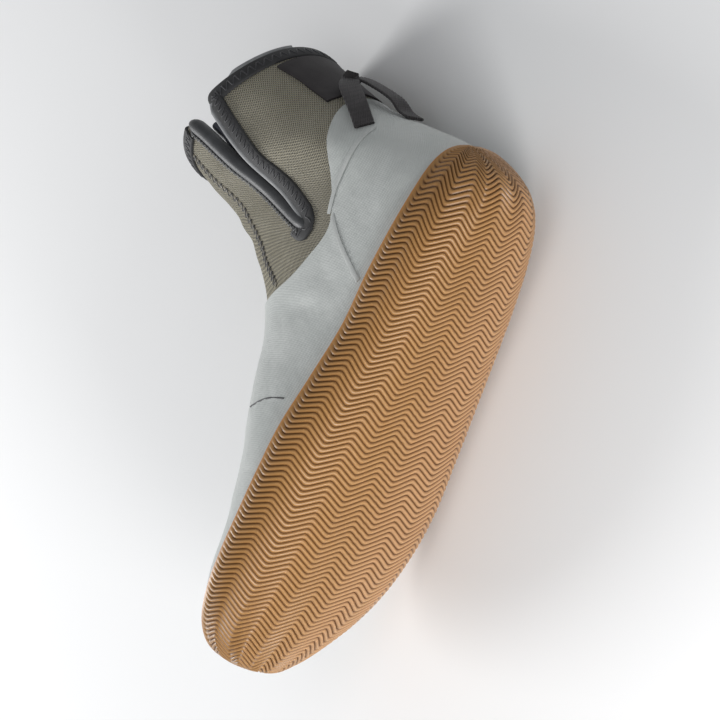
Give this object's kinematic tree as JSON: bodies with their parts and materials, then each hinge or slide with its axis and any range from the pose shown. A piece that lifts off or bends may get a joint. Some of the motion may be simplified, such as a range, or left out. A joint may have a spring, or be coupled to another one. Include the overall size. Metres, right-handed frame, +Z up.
{
  "type": "wading boot",
  "caption": "Ankle-high wading boot with cupped rubber sole, knit shaft with a side entry slit and gusset, foot shell, pull strap.",
  "frame": {"origin": "middle of the boot's footprint on the floor, with the boot lying on its outer side", "axes": "+Z up from the floor, towards the boot's inner side; +Y to the toe; the sole faces -X and the collar +X"},
  "size_m": [0.2218, 0.3028, 0.1169],
  "materials": {
    "sole_rubber": "satin gum rubber with zigzag ribs",
    "insole_cloth": "matte dark cloth over foam",
    "shaft_knit": "matte olive knit over neoprene",
    "shell_cloth": "coated grey cloth, slight sheen",
    "binding_tape": "charcoal knit tape with zigzag stitches",
    "lip_cloth": "grey-black rolled cloth",
    "gusset_cloth": "glossy dark navy stretch cloth",
    "seam_tape": "smooth dark plum seam tape",
    "strap_webbing": "ribbed dark plum webbing"
  },
  "bodies": {
    "root": {"outsole": "sole_rubber", "insole": "insole_cloth", "upper": "shaft_knit", "foot_shell": "shell_cloth", "binding": "binding_tape", "lip_roll": "lip_cloth", "gusset": "gusset_cloth", "back_tape": "seam_tape", "pull_strap": "strap_webbing"}
  },
  "joints": []
}
